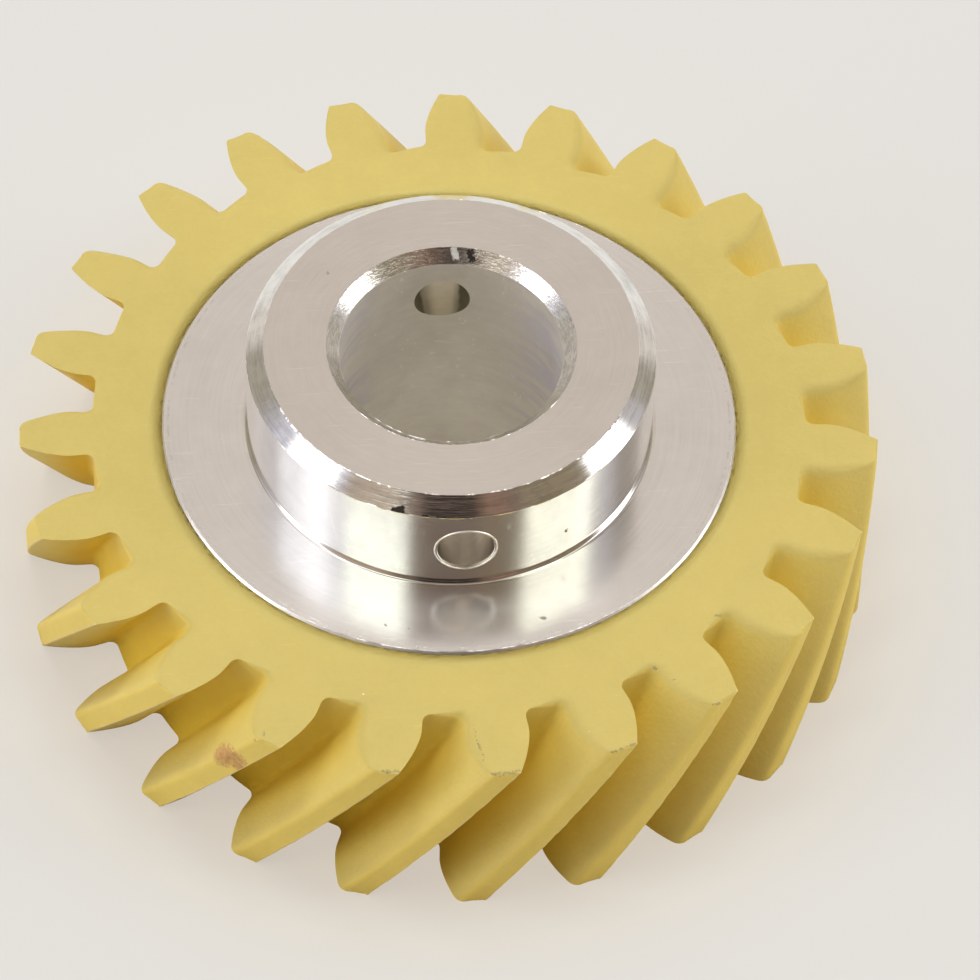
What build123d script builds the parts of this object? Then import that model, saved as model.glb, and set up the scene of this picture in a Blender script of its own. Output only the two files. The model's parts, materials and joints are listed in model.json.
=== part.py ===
from build123d import *
import os
from math import acos, asin, atan, cos, degrees, pi, radians, sin, tan

# Worm wheel: a helical toothed ring moulded round a turned hub that is pinned to its shaft.
# Millimetres, +Z up along the bore. The origin is the bore's centre on the bottom face,
# and the cross pin hole runs along Y.

# Teeth
TOOTH_COUNT = 23
NORMAL_MODULE = 1.68  # in the plane across a tooth
NORMAL_PRESSURE_ANGLE = 14.5  # in the same plane
HELIX_ANGLE = 31.3  # at the pitch circle, right hand
ADDENDUM = 1.89  # pitch circle to tip
DEDENDUM = 2.21  # pitch circle to root
ROOT_FILLET = 0.5
BACKLASH = 0.08  # taken off each tooth's thickness, along the pitch circle
FACE_WIDTH = 12.7
TOOTH_PHASE = 3.0  # degrees from the pin hole's front end to a tooth's middle, at the top face
FLANK_STEPS = 5  # spans between the points that shape a flank's involute

# Seat where the ring grips the hub
SEAT_DIAMETER = 32.8
FLUTE_COUNT = 24
FLUTE_RADIUS = 0.7
PLAIN_RIM = 2.2  # unfluted seat at each end

# Hub
FLANGE_STAND = 0.12  # flange face above the ring's top face
BOSS_DIAMETER = 23.1
BOSS_HEIGHT = 6.81  # above the flange face
BOSS_CHAMFER_RADIAL = 1.0
BOSS_CHAMFER_AXIAL = 0.8
BOSS_FILLET = 0.35
BORE_DIAMETER = 12.7
BORE_CHAMFER = 0.7

# Cross pin hole through both walls of the boss
PIN_HOLE_DIAMETER = 3.2
PIN_HOLE_HEIGHT = 3.05  # axis above the flange face
PIN_HOLE_DEBURR = 0.25

# Sizes that follow from those above
pitch_radius = TOOTH_COUNT * NORMAL_MODULE / cos(radians(HELIX_ANGLE)) / 2
pressure_angle = atan(tan(radians(NORMAL_PRESSURE_ANGLE)) / cos(radians(HELIX_ANGLE)))
base_radius = pitch_radius * cos(pressure_angle)
tip_radius = pitch_radius + ADDENDUM
root_radius = pitch_radius - DEDENDUM
angular_pitch = 2 * pi / TOOTH_COUNT
half_thickness_angle = (angular_pitch / 2 - BACKLASH / pitch_radius) / 2
twist_angle = degrees(FACE_WIDTH * tan(radians(HELIX_ANGLE)) / pitch_radius)
seat_radius = SEAT_DIAMETER / 2
boss_radius = BOSS_DIAMETER / 2
bore_radius = BORE_DIAMETER / 2
pin_hole_radius = PIN_HOLE_DIAMETER / 2
flange_z = FACE_WIDTH + FLANGE_STAND
boss_top_z = flange_z + BOSS_HEIGHT
pin_hole_z = flange_z + PIN_HOLE_HEIGHT


def involute(angle):
    """The involute function of a pressure angle, in radians."""
    return tan(angle) - angle


def tooth_half_angle(radius):
    """Half a tooth's thickness at a radius, as an angle about the bore."""
    return half_thickness_angle + involute(pressure_angle) - involute(acos(base_radius / radius))


def polar_point(radius, angle):
    """A point of the transverse section."""
    return Vector(radius * cos(angle), radius * sin(angle))


def tooth_and_space_edges(space_middle):
    """One pitch of the transverse outline: a tooth's tip land, then round the space that follows it."""
    tooth_middle = space_middle - angular_pitch / 2
    next_tooth_middle = space_middle + angular_pitch / 2

    # Involute flanks run from the base circle to the tip circle.
    foot_radius = max(base_radius, root_radius + ROOT_FILLET)
    step = (tip_radius - foot_radius) / FLANK_STEPS
    radii = [foot_radius + step * i for i in range(FLANK_STEPS + 1)]
    down_flank = [polar_point(r, tooth_middle + tooth_half_angle(r)) for r in reversed(radii)]
    up_flank = [polar_point(r, next_tooth_middle - tooth_half_angle(r)) for r in radii]

    # Below it they are radial, down to fillets that meet the root circle.
    space_half_angle = angular_pitch / 2 - tooth_half_angle(foot_radius)
    fillet_centre_radius = root_radius + ROOT_FILLET
    fillet_angle = asin(ROOT_FILLET / fillet_centre_radius)
    fillet_top_radius = fillet_centre_radius * cos(fillet_angle)
    root_half_angle = space_half_angle - fillet_angle
    down_fillet_top = polar_point(fillet_top_radius, space_middle - space_half_angle)
    up_fillet_top = polar_point(fillet_top_radius, space_middle + space_half_angle)
    root_start = polar_point(root_radius, space_middle - root_half_angle)
    root_middle = polar_point(root_radius, space_middle)
    root_end = polar_point(root_radius, space_middle + root_half_angle)
    inward = down_fillet_top.normalized() * -1
    along_root = polar_point(1, space_middle + root_half_angle + pi / 2)

    land_start = polar_point(tip_radius, tooth_middle - tooth_half_angle(tip_radius))
    land_middle = polar_point(tip_radius, tooth_middle)
    return [
        Edge.make_three_point_arc(land_start, land_middle, down_flank[0]),
        Edge.make_spline(down_flank),
        Edge.make_line(down_flank[-1], down_fillet_top),
        Edge.make_tangent_arc(down_fillet_top, inward, root_start),
        Edge.make_three_point_arc(root_start, root_middle, root_end),
        Edge.make_tangent_arc(root_end, along_root, up_fillet_top),
        Edge.make_line(up_fillet_top, up_flank[0]),
        Edge.make_spline(up_flank),
    ]


def toothed_blank():
    """The solid gear form: the transverse section carried up while it turns with the helix."""
    front = radians(-90)
    first_space = front + radians(TOOTH_PHASE - twist_angle) + angular_pitch / 2
    edges = []
    for tooth in range(TOOTH_COUNT):
        edges += tooth_and_space_edges(first_space + tooth * angular_pitch)
    section = Face(Wire(edges))
    return Solid.extrude_linear_with_rotation(section, (0, 0, 0), (0, 0, FACE_WIDTH), twist_angle)


def seat_core():
    """The hub's outside up to the flange face, with blind flutes that lock the ring on it."""
    with BuildPart() as core:
        with BuildSketch(Plane.XZ):
            with BuildLine():
                Polyline(
                    (0, 0),
                    (seat_radius, 0),
                    (seat_radius, FACE_WIDTH),
                    (seat_radius - FLANGE_STAND, flange_z),
                    (0, flange_z),
                    close=True,
                )
            make_face()
        revolve(axis=Axis.Z)
        with BuildSketch(Plane.XY.offset(PLAIN_RIM)):
            with PolarLocations(seat_radius, FLUTE_COUNT):
                Circle(FLUTE_RADIUS)
        extrude(amount=FACE_WIDTH - 2 * PLAIN_RIM, mode=Mode.SUBTRACT)
    return core.part


def turned_boss():
    """The boss above the flange, with its chamfered nose and the small fillet at its foot."""
    foot_radius = boss_radius + BOSS_FILLET
    with BuildPart() as boss:
        with BuildSketch(Plane.XZ):
            with BuildLine():
                Polyline(
                    (foot_radius, flange_z),
                    (foot_radius, flange_z - BOSS_FILLET),
                    (0, flange_z - BOSS_FILLET),
                    (0, boss_top_z),
                    (boss_radius - BOSS_CHAMFER_RADIAL, boss_top_z),
                    (boss_radius, boss_top_z - BOSS_CHAMFER_AXIAL),
                    (boss_radius, flange_z + BOSS_FILLET),
                )
                RadiusArc((boss_radius, flange_z + BOSS_FILLET), (foot_radius, flange_z), -BOSS_FILLET)
            make_face()
        revolve(axis=Axis.Z)
    return boss.part


def shaft_bore():
    """What the bore removes: a plain hole with a chamfered mouth at each end."""
    mouth_radius = bore_radius + BORE_CHAMFER
    with BuildPart() as bore:
        with BuildSketch(Plane.XZ):
            with BuildLine():
                Polyline(
                    (0, 0),
                    (mouth_radius, 0),
                    (bore_radius, BORE_CHAMFER),
                    (bore_radius, boss_top_z - BORE_CHAMFER),
                    (mouth_radius, boss_top_z),
                    (0, boss_top_z),
                    close=True,
                )
            make_face()
        revolve(axis=Axis.Z)
    return bore.part


def cross_pin_hole():
    """What the pin hole removes: a drilled hole along Y, with a deburred rim on each side of the boss."""
    facing_front = Rot(90, 0, 0)
    hole = Pos(0, 0, pin_hole_z) * facing_front * Cylinder(pin_hole_radius, 2 * BOSS_DIAMETER)
    deburr = Cone(pin_hole_radius, pin_hole_radius + 2 * PIN_HOLE_DEBURR, 2 * PIN_HOLE_DEBURR)
    for turn in (0, 180):
        hole += Rot(0, 0, turn) * Pos(0, -boss_radius, pin_hole_z) * facing_front * deburr
    return hole


def hub():
    """The turned metal hub: seat, flange, boss, bore and pin hole."""
    return seat_core() + turned_boss() - shaft_bore() - cross_pin_hole()


def toothed_ring():
    """The moulded ring: the gear form less the hub's seat, so that the ring's bore fills the flutes."""
    return toothed_blank() - seat_core()


os.makedirs("parts", exist_ok=True)
for name, shape in {"hub": hub(), "toothed_ring": toothed_ring()}.items():
    export_step(shape, f"parts/{name}.step")
    size = shape.bounding_box().size
    print(f"{name}: volume {shape.volume:.1f}, size {size.X:.2f} x {size.Y:.2f} x {size.Z:.2f}")
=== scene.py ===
"""The looks of a worm wheel: a helical nylon ring moulded round a turned metal hub.

Sizes in the classes are millimetres and degrees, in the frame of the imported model: +Z runs up the bore and
the cross pin hole runs along Y. Meshes are turned into metres as they are made.
"""

import json
import logging
import math
from dataclasses import dataclass, field
from enum import Enum

import bmesh
import bpy
import numpy as np
from mathutils import Matrix, Vector, noise
from mathutils.geometry import delaunay_2d_cdt


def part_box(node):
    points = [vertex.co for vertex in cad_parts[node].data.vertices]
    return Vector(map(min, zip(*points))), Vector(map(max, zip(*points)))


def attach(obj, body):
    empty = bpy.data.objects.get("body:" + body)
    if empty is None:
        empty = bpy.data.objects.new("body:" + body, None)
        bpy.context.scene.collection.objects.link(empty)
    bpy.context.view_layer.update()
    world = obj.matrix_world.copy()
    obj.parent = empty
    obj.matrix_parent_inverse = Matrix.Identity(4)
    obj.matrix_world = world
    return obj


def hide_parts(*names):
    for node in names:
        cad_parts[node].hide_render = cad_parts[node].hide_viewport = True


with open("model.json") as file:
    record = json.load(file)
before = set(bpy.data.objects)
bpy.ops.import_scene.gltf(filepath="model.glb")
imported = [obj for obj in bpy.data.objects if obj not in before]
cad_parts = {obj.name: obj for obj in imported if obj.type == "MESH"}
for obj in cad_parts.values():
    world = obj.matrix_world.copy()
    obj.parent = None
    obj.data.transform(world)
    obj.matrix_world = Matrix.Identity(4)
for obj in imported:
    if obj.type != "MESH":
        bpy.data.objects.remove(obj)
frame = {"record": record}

MM = 0.001
PICTURE_SIDE = 980
# Heights and radii on the wheel, in millimetres, for the places of its marks.
HUB_TOP = 19.63
FLANGE_TOP = 12.82
RING_TOP = 12.70
TIP = 24.5
SEAT = 16.4
BURR = "burr"
log = logging.getLogger("worm_wheel")


class Slot(Enum):
    """The record's material slots."""

    METAL = "metal"
    NYLON = "nylon"


class HubZone(Enum):
    """The hub's surfaces, each with a finish of its own. The value is its material index."""

    NOSE_FACE = 0
    NOSE_CHAMFER = 1
    BOSS_WALL = 2
    FLANGE = 3
    BORE = 4
    PIN_HOLE = 5
    DEBURRED_RIM = 6
    UNDERSIDE = 7
    MOUTH_CHAMFER = 8
    FLANGE_RIM = 9
    BOSS_FOOT = 10
    # The far half of the cross pin hole, painted as a shaded copy of the near half.
    FAR_HOLE = 11


class Tint(Enum):
    """What a small mark does to the surface under it."""

    # Dark marks: dirt and nicks, and painted shade where they stand for it.
    DIRT = "dirt"
    BRIGHT = "bright"
    RUBBED = "rubbed"


Colour = tuple[float, float, float, float]
Socket = bpy.types.NodeSocket


def rgb(red: float, green: float, blue: float) -> Colour:
    """An opaque colour in linear light."""
    return red, green, blue, 1.0


def involute(angle: float) -> float:
    """The involute function of a pressure angle in radians."""
    return math.tan(angle) - angle


def polar(radius: float, angle: float) -> tuple[float, float]:
    """The point at a radius and an angle in radians."""
    return radius * math.cos(angle), radius * math.sin(angle)


def quadratic(a: np.ndarray, b: np.ndarray, c: np.ndarray, t: float) -> tuple[float, float]:
    """A point of the curve that leaves a towards b and arrives at c."""
    a, b, c = np.array(a), np.array(b), np.array(c)
    return tuple(a * (1 - t) ** 2 + b * 2 * t * (1 - t) + c * t * t)


def unit(vector: np.ndarray) -> np.ndarray:
    """A vector's direction."""
    return vector / np.linalg.norm(vector)


def wrapped(angle: float) -> float:
    """The same turn, between minus and plus half a turn, in radians."""
    return (angle + math.pi) % (2 * math.pi) - math.pi


def turned(points: np.ndarray, angle: float | np.ndarray) -> np.ndarray:
    """Flat points turned about the origin, by one angle or one for each, in radians."""
    c, s = np.cos(angle), np.sin(angle)
    return np.column_stack([points[:, 0] * c - points[:, 1] * s, points[:, 0] * s + points[:, 1] * c])


def from_axis(points: np.ndarray) -> np.ndarray:
    """Each point's distance from the bore's axis."""
    return np.hypot(points[:, 0], points[:, 1])


def unit_circle(sides: int) -> np.ndarray:
    """Flat points round a circle of radius 1, anticlockwise."""
    angles = np.arange(sides) * 2 * math.pi / sides
    return np.column_stack([np.cos(angles), np.sin(angles)])


def quads(rows: int, count: int, closed: bool = False, flipped: bool = False) -> list[tuple[int, ...]]:
    """Faces between neighbouring rows of points.

    Args:
        rows: how many rows there are.
        count: the points of each row, which closes on itself.
        closed: whether the last row joins the first.
        flipped: whether the faces look the other way.

    Returns:
        Four point numbers for each face, row by row.
    """
    faces = []
    for row in range(rows if closed else rows - 1):
        low, high = row * count, (row + 1) % rows * count
        for i in range(count):
            j = (i + 1) % count
            faces.append((low + i, low + j, high + j, high + i) if flipped
                         else (low + i, high + i, high + j, low + j))
    return faces


def smooth_noise(points: np.ndarray, scale: float, seed: float) -> np.ndarray:
    """Smooth noise from -1 to 1 at each point.

    Args:
        points: (n, 3) places in millimetres.
        scale: waves per millimetre, about.
        seed: shifts the pattern, so that two uses differ.

    Returns:
        (n,) values.
    """
    shift = Vector((seed, seed * 1.7, seed * 0.3))
    return np.array([noise.noise(Vector(p) * scale + shift) for p in points])


def mesh_object(name: str, points: np.ndarray, faces: list,
                zones: np.ndarray | None = None) -> bpy.types.Object:
    """Makes a mesh object in metres, with smooth faces.

    Args:
        name: the piece's name.
        points: (n, 3) places in millimetres.
        faces: tuples of point numbers.
        zones: each face's material index, where there is more than one.

    Returns:
        The new object, linked to the scene.
    """
    mesh = bpy.data.meshes.new(name)
    mesh.from_pydata((points * MM).tolist(), [], faces)
    mesh.shade_smooth()
    if zones is not None:
        mesh.polygons.foreach_set("material_index", zones.astype(np.int32))
    mesh.update()
    made = bpy.data.objects.new(name, mesh)
    bpy.context.scene.collection.objects.link(made)
    return made


def apply_modifiers(piece: bpy.types.Object) -> None:
    """Turns a piece's modifiers into its mesh."""
    graph = bpy.context.evaluated_depsgraph_get()
    final = bpy.data.meshes.new_from_object(piece.evaluated_get(graph))
    piece.modifiers.clear()
    piece.data = final


def keep_flats_flat(piece: bpy.types.Object) -> None:
    """Weights a piece's normals by face area, so that flats beside rounded edges stay flat."""
    weighted = piece.modifiers.new("flat_faces", "WEIGHTED_NORMAL")
    weighted.keep_sharp = True
    apply_modifiers(piece)


def mount(name: str) -> dict:
    """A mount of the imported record."""
    return next(m for m in frame["record"]["mounts"] if m["name"] == name)


@dataclass(frozen=True)
class Mark:
    """A small mark on a surface, from one place to another, each a radius, an angle and a height."""

    start: tuple[float, float, float]
    end: tuple[float, float, float]
    width: float
    broken: float = 0.5
    tint: Tint = Tint.DIRT

    @staticmethod
    def place(spot: tuple[float, float, float]) -> tuple[float, float, float]:
        """A radius, an angle in degrees and a height as x, y and z."""
        x, y = polar(spot[0], math.radians(spot[1]))
        return x, y, spot[2]


@dataclass(frozen=True)
class ToothForm:
    """The ring's transverse section, in millimetres and degrees."""

    count: int = 23
    normal_module: float = 1.68
    normal_pressure_angle: float = 14.5
    helix_angle: float = 31.3
    addendum: float = 1.89
    dedendum: float = 2.21
    root_fillet: float = 0.5
    backlash: float = 0.08
    phase: float = 3.0
    sharp_corner: float = 0.08
    soft_corner: float = 0.42

    @property
    def pitch_radius(self) -> float:
        """Radius of the pitch circle."""
        return self.count * self.normal_module / math.cos(math.radians(self.helix_angle)) / 2

    @property
    def pressure_angle(self) -> float:
        """Transverse pressure angle, in radians."""
        across = math.tan(math.radians(self.normal_pressure_angle))
        return math.atan(across / math.cos(math.radians(self.helix_angle)))

    @property
    def base_radius(self) -> float:
        """Radius of the circle that the flanks' involutes unwind from."""
        return self.pitch_radius * math.cos(self.pressure_angle)

    @property
    def tip_radius(self) -> float:
        """Radius of the tooth tips."""
        return self.pitch_radius + self.addendum

    @property
    def root_radius(self) -> float:
        """Radius of the floors between the teeth."""
        return self.pitch_radius - self.dedendum

    @property
    def pitch_angle(self) -> float:
        """Angle from one tooth to the next, in radians."""
        return 2 * math.pi / self.count

    def half_angle(self, radius: float) -> float:
        """Half a tooth's thickness at a radius, as an angle about the bore.

        Args:
            radius: where on the flank, in millimetres.

        Returns:
            The angle in radians.
        """
        at_pitch = (self.pitch_angle / 2 - self.backlash / self.pitch_radius) / 2
        unwound = math.acos(min(1.0, self.base_radius / radius))
        return at_pitch + involute(self.pressure_angle) - involute(unwound)

    def half_outline(self, corner: float) -> tuple[np.ndarray, np.ndarray]:
        """The outline from the middle of a tip land to the middle of the space beside it.

        Args:
            corner: how far the corner between land and flank is rounded, in millimetres.

        Returns:
            (n, 2) points of a tooth that points along +X, going round towards +Y, and for each its place: 0
            is the land's middle, 1 its corner, 2 the flank's foot and 3 the middle of the space.
        """
        tip, base, root = self.tip_radius, self.base_radius, self.root_radius
        tip_angle = self.half_angle(tip)
        land = [polar(tip, (tip_angle - corner / tip) * t) for t in (0.0, 0.35, 0.7, 0.9, 1.0)]
        flank = [polar(r, self.half_angle(r)) for r in np.linspace(tip - corner, base, 10)]
        rounded = [quadratic(land[-1], polar(tip, tip_angle), flank[0], t) for t in (0.25, 0.5, 0.75)]

        foot_angle = self.half_angle(base)
        centre_radius = root + self.root_fillet
        fillet_angle = math.asin(self.root_fillet / centre_radius)
        centre = np.array(polar(centre_radius, foot_angle + fillet_angle))
        fillet_top = polar(centre_radius * math.cos(fillet_angle), foot_angle)
        start = math.atan2(fillet_top[1] - centre[1], fillet_top[0] - centre[0])
        sweep = wrapped(math.atan2(-centre[1], -centre[0]) - start)
        fillet = [centre + self.root_fillet * np.array([math.cos(a), math.sin(a)])
                  for a in np.linspace(start, start + sweep, 6)]
        shank = [(np.array(flank[-1]) + np.array(fillet_top)) / 2]
        middle = self.pitch_angle / 2
        floor = [polar(root, a) for a in np.linspace(foot_angle + fillet_angle, middle, 4)[1:]]

        runs = [(land, 0.0, 0.9), (rounded, 0.95, 1.05), (flank, 1.1, 1.9), (shank, 1.95, 1.95),
                (fillet, 2.0, 2.4), (floor, 2.6, 3.0)]
        points = np.array([point for run, _, _ in runs for point in run])
        places = np.concatenate([np.linspace(low, high, len(run)) for run, low, high in runs])
        return points, places

    def outline(self) -> tuple[np.ndarray, np.ndarray]:
        """The whole outline, with a tooth along +X.

        Returns:
            The (n, 2) points, and for each its place as half_outline gives it, negative on the clockwise
            side.
        """
        sharp, places = self.half_outline(self.sharp_corner)
        soft, _ = self.half_outline(self.soft_corner)
        one = np.concatenate([soft[:0:-1] * (1, -1), sharp[:-1]])
        sides = np.concatenate([-places[:0:-1], places[:-1]])
        teeth = [turned(one, self.pitch_angle * k) for k in range(self.count)]
        return np.concatenate(teeth), np.tile(sides, self.count)


@dataclass
class ToothedRing:
    """The moulded ring: helical teeth round the hub's seat."""

    form: ToothForm = field(default_factory=ToothForm)
    seat_radius: float = SEAT
    crisp: float = 0.03
    blunt: float = 0.5
    corner_edge: float = 0.07
    land_edge: float = 0.16
    root_edge: float = 0.24
    edge_steps: int = 5
    slices: int = 44
    seat_sides: int = 180
    filler_radii: tuple[float, ...] = (17.2, 18.3, 19.4)
    burr: float = 0.06
    burr_width: float = 0.14
    burr_reach: float = 0.17
    chip: Mark = Mark((TIP, -124.2, 9.5), (TIP, -123.4, 9.2), 0.75, tint=Tint.RUBBED)
    chip_depth: float = 0.14

    def edge_radius(self, places: np.ndarray, upper: bool) -> np.ndarray:
        """How far the edge between a side and an end face is rounded.

        The helix makes one edge of each tooth sharp and overhanging, and the other blunt.

        Args:
            places: the outline's places, as ToothForm.outline gives them.
            upper: the top face rather than the bottom one.

        Returns:
            A radius for each place.
        """
        side = places if upper else -places
        knots = (-3.0, -2.3, -1.4, -1.0, -0.7, 0.0, 0.6, 0.9, 2.4, 3.0)
        radii = (self.root_edge, self.blunt, self.blunt, self.corner_edge, self.land_edge, self.land_edge,
                 self.corner_edge, self.crisp, self.crisp, self.root_edge)
        return np.interp(side, knots, radii)

    def rows(self, places: np.ndarray, face_width: float) -> list[tuple[np.ndarray, np.ndarray]]:
        """The heights at which the outline is laid, each with how far it is drawn in.

        Args:
            places: the outline's places.
            face_width: the ring's height.

        Returns:
            (heights, insets) from the bottom face to the top one, with a number for each of the
            outline's points.
        """
        low, high = self.edge_radius(places, False), self.edge_radius(places, True)
        bends = np.linspace(0, math.pi / 2, self.edge_steps + 1)
        made = [(low * (1 - math.sin(a)), low * (1 - math.cos(a))) for a in reversed(bends)]
        for share in np.linspace(0, 1, self.slices + 1)[1:-1]:
            made.append((low + (face_width - low - high) * share, np.zeros(len(places))))
        made += [(face_width - high * (1 - math.sin(a)), high * (1 - math.cos(a))) for a in bends]
        return made

    def build(self) -> bpy.types.Object:
        """Makes the ring's mesh, with its edges, burrs and chip."""
        form = self.form
        face_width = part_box("toothed_ring")[1].z / MM
        outline, places = form.outline()
        count = len(outline)
        along = np.roll(outline, -1, 0) - np.roll(outline, 1, 0)
        normals = np.stack([along[:, 1], -along[:, 0]], 1) / np.linalg.norm(along, axis=1)[:, None]

        twist = face_width * math.tan(math.radians(form.helix_angle)) / form.pitch_radius
        start = math.radians(form.phase - 90) - twist
        rows = self.rows(places, face_width)
        skin = np.concatenate([
            np.column_stack([turned(outline - normals * inset[:, None], start + twist * z / face_width), z])
            for z, inset in rows])
        burrs = self.raise_burrs(skin, np.tile(places, len(rows)))
        self.gouge(skin)

        inner = [unit_circle(self.seat_sides) * r for r in (self.seat_radius, *self.filler_radii)]
        points = [skin]
        faces = quads(len(rows), count, flipped=True)
        seats = []
        for first, height, upper in ((0, 0.0, False), (len(skin) - count, face_width, True)):
            flat = np.concatenate([skin[first:first + count, :2], *inner])
            added = sum(len(p) for p in points)
            number = np.concatenate([np.arange(first, first + count),
                                     np.arange(added, added + len(flat) - count)])
            for a, b, c in self.fill(flat, count):
                corners = (a, b, c) if upper else (c, b, a)
                faces.append(tuple(int(number[k]) for k in corners))
            points.append(np.column_stack([flat[count:], np.full(len(flat) - count, height)]))
            seats.append(added)
        for i in range(self.seat_sides):
            j = (i + 1) % self.seat_sides
            faces.append((seats[0] + j, seats[0] + i, seats[1] + i, seats[1] + j))
        points = np.concatenate(points)
        piece = mesh_object("nylon_ring", points, faces)
        burr = piece.data.attributes.new(BURR, "FLOAT", "POINT")
        burr.data.foreach_set("value", np.concatenate([burrs, np.zeros(len(points) - len(burrs))]))
        keep_flats_flat(piece)
        return piece

    def fill(self, flat: np.ndarray, count: int) -> list[tuple[int, int, int]]:
        """Triangles that fill an end face between the toothed outline and the seat.

        Args:
            flat: (n, 2) points: the outline, then the seat's circle, then loose ones between them.
            count: how many of them are the outline.

        Returns:
            Triangles of point numbers, anticlockwise.
        """
        loops = [(i, (i + 1) % count) for i in range(count)]
        loops += [(count + i, count + (i + 1) % self.seat_sides) for i in range(self.seat_sides)]
        made = delaunay_2d_cdt([Vector(p) for p in flat], loops, [], 0, 1e-6)
        triangles = np.array(made[2])
        centres = flat[triangles].mean(1)
        a, b = flat[:count], np.roll(flat[:count], -1, 0)
        x, y = centres[:, :1], centres[:, 1:]
        crosses = (a[:, 1] > y) != (b[:, 1] > y)
        slope = (b[:, 0] - a[:, 0]) / np.where(a[:, 1] == b[:, 1], 1.0, b[:, 1] - a[:, 1])
        inside = (crosses & (x < a[:, 0] + (y - a[:, 1]) * slope)).sum(1) % 2 == 1
        return [tuple(t) for t in triangles[inside & (from_axis(centres) > self.seat_radius)]]

    def raise_burrs(self, skin: np.ndarray, places: np.ndarray) -> np.ndarray:
        """Pushes the tip edge on the overhanging side of each tooth outwards, unevenly.

        Args:
            skin: (n, 3) points of the toothed skin, changed in place.
            places: each point's place on the outline.

        Returns:
            How much of a burr each point is, from 0 to 1.
        """
        near = np.clip(1 - np.abs(places - 1.0) / self.burr_width, 0, 1)
        chosen = np.nonzero(near > 0)[0]
        rough = smooth_noise(skin[chosen], 2.3, 4.0) * 0.6 + smooth_noise(skin[chosen], 7.0, 9.0) * 0.4
        uneven = np.clip(rough + 0.2, 0, 1)
        lift = self.burr * near[chosen] * uneven
        outward = skin[chosen, :2] / from_axis(skin[chosen])[:, None]
        across = np.column_stack([-outward[:, 1], outward[:, 0]])
        skin[chosen, :2] += outward * lift[:, None] * 0.4 + across * lift[:, None]
        shown = np.zeros(len(skin))
        share = np.clip(1 - np.abs(places[chosen] - 1.0) / self.burr_reach, 0, 1)
        shown[chosen] = share * (0.45 + 0.55 * uneven)
        return shown

    def gouge(self, skin: np.ndarray) -> None:
        """Sinks the rubbed patch on one tooth's tip a little way in, in place."""
        middle = np.array(Mark.place(self.chip.start))
        away = np.linalg.norm(skin - middle, axis=1) / self.chip.width
        chosen = np.nonzero(away < 1)[0]
        rough = 0.6 + 0.4 * smooth_noise(skin[chosen], 4.0, 2.0)
        depth = self.chip_depth * (1 - away[chosen] ** 2) * rough
        skin[chosen, :2] *= 1 - (depth / from_axis(skin[chosen]))[:, None]


@dataclass(frozen=True)
class Corner:
    """One corner of the hub's turned profile, and the stretch that leaves it.

    Burr is how far the corner's edge stands up or breaks away, at most, and arc is the zone of the rounding
    where that isn't the stretch's.
    """

    radius: float
    height: float
    rounding: float
    steps: int
    zone: HubZone
    burr: float = 0.0
    arc: HubZone | None = None


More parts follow.
